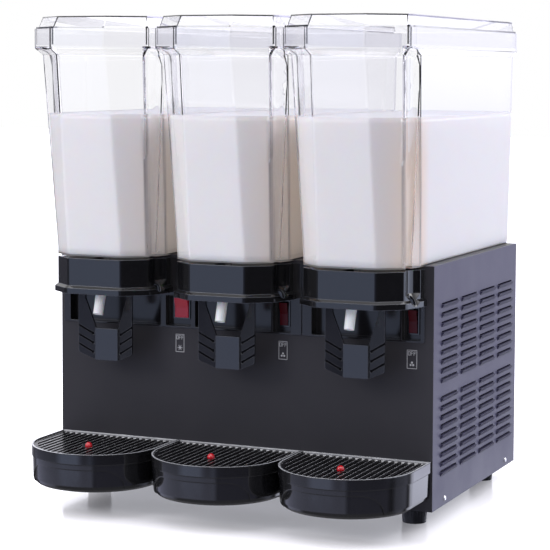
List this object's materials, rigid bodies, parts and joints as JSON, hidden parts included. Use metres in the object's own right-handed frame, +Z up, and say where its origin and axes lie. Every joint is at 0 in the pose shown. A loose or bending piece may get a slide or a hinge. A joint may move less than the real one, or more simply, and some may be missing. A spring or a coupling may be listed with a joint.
{
  "type": "cold drink dispenser",
  "caption": "Counter-top cold drink dispenser: clear lidded tanks side by side on a louvred black cabinet, push-lever taps, rocker switches and rounded drip trays.",
  "frame": {"origin": "on the surface it stands on, under the middle of the whole object", "axes": "seen from the front, +X is to the viewer's right; +Y points from the taps to the back; +Z is up"},
  "size_m": [0.5472, 0.539, 0.6542],
  "materials": {
    "clear_tank": "clear moulded plastic",
    "clear_lid": "clear moulded plastic",
    "white_silicone": "soft matt",
    "gloss_black": "polished",
    "lever_black": "satin",
    "white_plastic": "satin",
    "plain_steel": "bright",
    "dome_steel": "brushed",
    "grey_seal": "matt",
    "motor_black": "satin paint",
    "lit_red": "translucent, lit",
    "dark_red": "translucent",
    "switch_black": "satin",
    "fascia_black": "semi-gloss",
    "front_charcoal": "matt powder coat",
    "side_charcoal": "satin powder coat",
    "sheet_steel": "galvanised",
    "foot_rubber": "matt, fluted",
    "fin_aluminium": "bare fins",
    "fan_plastic": "matt",
    "grille_black": "semi-gloss",
    "float_red": "gloss"
  },
  "bodies": {
    "cabinet": {"cooling_domes": "dome_steel", "evaporator_sleeves": "plain_steel", "tank_gaskets": "grey_seal", "stirrer_motors": "motor_black", "lever_pins": "plain_steel", "lever_springs": "plain_steel", "switch_bodies": "switch_black", "tap_fascia_left": "fascia_black", "tap_fascia_right": "fascia_black", "front_panel": "front_charcoal", "side_panel_left": "side_charcoal", "side_panel_right": "side_charcoal", "rear_panel": "side_charcoal", "top_deck": "sheet_steel", "base_pan": "sheet_steel", "feet": "foot_rubber", "side_screws": "plain_steel", "compressor": "motor_black", "condenser": "fin_aluminium", "fan_motor": "motor_black", "fan_bracket": "sheet_steel", "mains_gland": "switch_black", "tap_shroud_1": "gloss_black", "tap_shroud_2": "gloss_black", "tap_shroud_3": "gloss_black"},
    "tank_1": {"tank_1": "clear_tank", "tap_tube_1": "white_silicone"},
    "lid_1": {"lid_1": "clear_lid"},
    "stirrer_1": {"stirrer_1": "white_plastic"},
    "drive_rotor_1": {"drive_rotor_1": "plain_steel"},
    "lever_1": {"lever_1": "lever_black"},
    "rocker_1": {"rocker_1": "lit_red"},
    "drip_tray_1": {"drip_tray_1": "gloss_black"},
    "tray_grille_1": {"tray_grille_1": "grille_black"},
    "tray_float_1": {"tray_float_1": "float_red"},
    "tank_2": {"tank_2": "clear_tank", "tap_tube_2": "white_silicone"},
    "lid_2": {"lid_2": "clear_lid"},
    "stirrer_2": {"stirrer_2": "white_plastic"},
    "drive_rotor_2": {"drive_rotor_2": "plain_steel"},
    "lever_2": {"lever_2": "lever_black"},
    "rocker_2": {"rocker_2": "dark_red"},
    "drip_tray_2": {"drip_tray_2": "gloss_black"},
    "tray_grille_2": {"tray_grille_2": "grille_black"},
    "tray_float_2": {"tray_float_2": "float_red"},
    "tank_3": {"tank_3": "clear_tank", "tap_tube_3": "white_silicone"},
    "lid_3": {"lid_3": "clear_lid"},
    "stirrer_3": {"stirrer_3": "white_plastic"},
    "drive_rotor_3": {"drive_rotor_3": "plain_steel"},
    "lever_3": {"lever_3": "lever_black"},
    "rocker_3": {"rocker_3": "dark_red"},
    "drip_tray_3": {"drip_tray_3": "gloss_black"},
    "tray_grille_3": {"tray_grille_3": "grille_black"},
    "tray_float_3": {"tray_float_3": "float_red"},
    "fan_blade": {"fan_blade": "fan_plastic"}
  },
  "joints": [
    {"name": "tank_1_lift", "type": "slide", "parent": "cabinet", "child": "tank_1", "axis": [0, 0, 1], "range_m": [0, 0.1]},
    {"name": "lid_1_lift", "type": "slide", "parent": "tank_1", "child": "lid_1", "axis": [0, 0, 1], "range_m": [0, 0.04]},
    {"name": "drive_rotor_1_spin", "type": "hinge", "parent": "cabinet", "child": "drive_rotor_1", "pos_m": [-0.1794, 0.0515, 0.376], "axis": [0, 0, 1], "continuous": true},
    {"name": "stirrer_1_spin", "type": "hinge", "parent": "cabinet", "child": "stirrer_1", "pos_m": [-0.1794, 0.0515, 0.41], "axis": [0, 0, 1], "continuous": true},
    {"name": "lever_1_push", "type": "hinge", "parent": "cabinet", "child": "lever_1", "pos_m": [-0.1794, -0.1535, 0.311], "axis": [1, 0, 0], "range_deg": [0, 12], "stiffness_Nm_per_rad": 0.6},
    {"name": "rocker_1_rock", "type": "hinge", "parent": "cabinet", "child": "rocker_1", "pos_m": [-0.0897, -0.1095, 0.2665], "axis": [-1, 0, 0], "range_deg": [0, 14]},
    {"name": "drip_tray_1_lift", "type": "slide", "parent": "cabinet", "child": "drip_tray_1", "axis": [0, 0, 1], "range_m": [0, 0.012]},
    {"name": "tray_grille_1_lift", "type": "slide", "parent": "drip_tray_1", "child": "tray_grille_1", "axis": [0, 0, 1], "range_m": [0, 0.02]},
    {"name": "tray_float_1_rise", "type": "slide", "parent": "drip_tray_1", "child": "tray_float_1", "axis": [0, 0, 1], "range_m": [0, 0.006]},
    {"name": "tank_2_lift", "type": "slide", "parent": "cabinet", "child": "tank_2", "axis": [0, 0, 1], "range_m": [0, 0.1]},
    {"name": "lid_2_lift", "type": "slide", "parent": "tank_2", "child": "lid_2", "axis": [0, 0, 1], "range_m": [0, 0.04]},
    {"name": "drive_rotor_2_spin", "type": "hinge", "parent": "cabinet", "child": "drive_rotor_2", "pos_m": [0, 0.0515, 0.376], "axis": [0, 0, 1], "continuous": true},
    {"name": "stirrer_2_spin", "type": "hinge", "parent": "cabinet", "child": "stirrer_2", "pos_m": [0, 0.0515, 0.41], "axis": [0, 0, 1], "continuous": true},
    {"name": "lever_2_push", "type": "hinge", "parent": "cabinet", "child": "lever_2", "pos_m": [0, -0.1535, 0.311], "axis": [1, 0, 0], "range_deg": [0, 12], "stiffness_Nm_per_rad": 0.6},
    {"name": "rocker_2_rock", "type": "hinge", "parent": "cabinet", "child": "rocker_2", "pos_m": [0.0612, -0.1115, 0.2665], "axis": [-1, 0, 0], "range_deg": [0, 14]},
    {"name": "drip_tray_2_lift", "type": "slide", "parent": "cabinet", "child": "drip_tray_2", "axis": [0, 0, 1], "range_m": [0, 0.012]},
    {"name": "tray_grille_2_lift", "type": "slide", "parent": "drip_tray_2", "child": "tray_grille_2", "axis": [0, 0, 1], "range_m": [0, 0.02]},
    {"name": "tray_float_2_rise", "type": "slide", "parent": "drip_tray_2", "child": "tray_float_2", "axis": [0, 0, 1], "range_m": [0, 0.006]},
    {"name": "tank_3_lift", "type": "slide", "parent": "cabinet", "child": "tank_3", "axis": [0, 0, 1], "range_m": [0, 0.1]},
    {"name": "lid_3_lift", "type": "slide", "parent": "tank_3", "child": "lid_3", "axis": [0, 0, 1], "range_m": [0, 0.04]},
    {"name": "drive_rotor_3_spin", "type": "hinge", "parent": "cabinet", "child": "drive_rotor_3", "pos_m": [0.1794, 0.0515, 0.376], "axis": [0, 0, 1], "continuous": true},
    {"name": "stirrer_3_spin", "type": "hinge", "parent": "cabinet", "child": "stirrer_3", "pos_m": [0.1794, 0.0515, 0.41], "axis": [0, 0, 1], "continuous": true},
    {"name": "lever_3_push", "type": "hinge", "parent": "cabinet", "child": "lever_3", "pos_m": [0.1794, -0.1535, 0.311], "axis": [1, 0, 0], "range_deg": [0, 12], "stiffness_Nm_per_rad": 0.6},
    {"name": "rocker_3_rock", "type": "hinge", "parent": "cabinet", "child": "rocker_3", "pos_m": [0.2406, -0.1115, 0.2665], "axis": [-1, 0, 0], "range_deg": [0, 14]},
    {"name": "drip_tray_3_lift", "type": "slide", "parent": "cabinet", "child": "drip_tray_3", "axis": [0, 0, 1], "range_m": [0, 0.012]},
    {"name": "tray_grille_3_lift", "type": "slide", "parent": "drip_tray_3", "child": "tray_grille_3", "axis": [0, 0, 1], "range_m": [0, 0.02]},
    {"name": "tray_float_3_rise", "type": "slide", "parent": "drip_tray_3", "child": "tray_float_3", "axis": [0, 0, 1], "range_m": [0, 0.006]},
    {"name": "fan_spin", "type": "hinge", "parent": "cabinet", "child": "fan_blade", "pos_m": [0.173, 0.0605, 0.1092], "axis": [1, 0, 0], "continuous": true}
  ],
  "couplings": [
    {"joint": "stirrer_1_spin", "follows": "drive_rotor_1_spin", "ratio": 1},
    {"joint": "stirrer_2_spin", "follows": "drive_rotor_2_spin", "ratio": 1},
    {"joint": "stirrer_3_spin", "follows": "drive_rotor_3_spin", "ratio": 1}
  ]
}
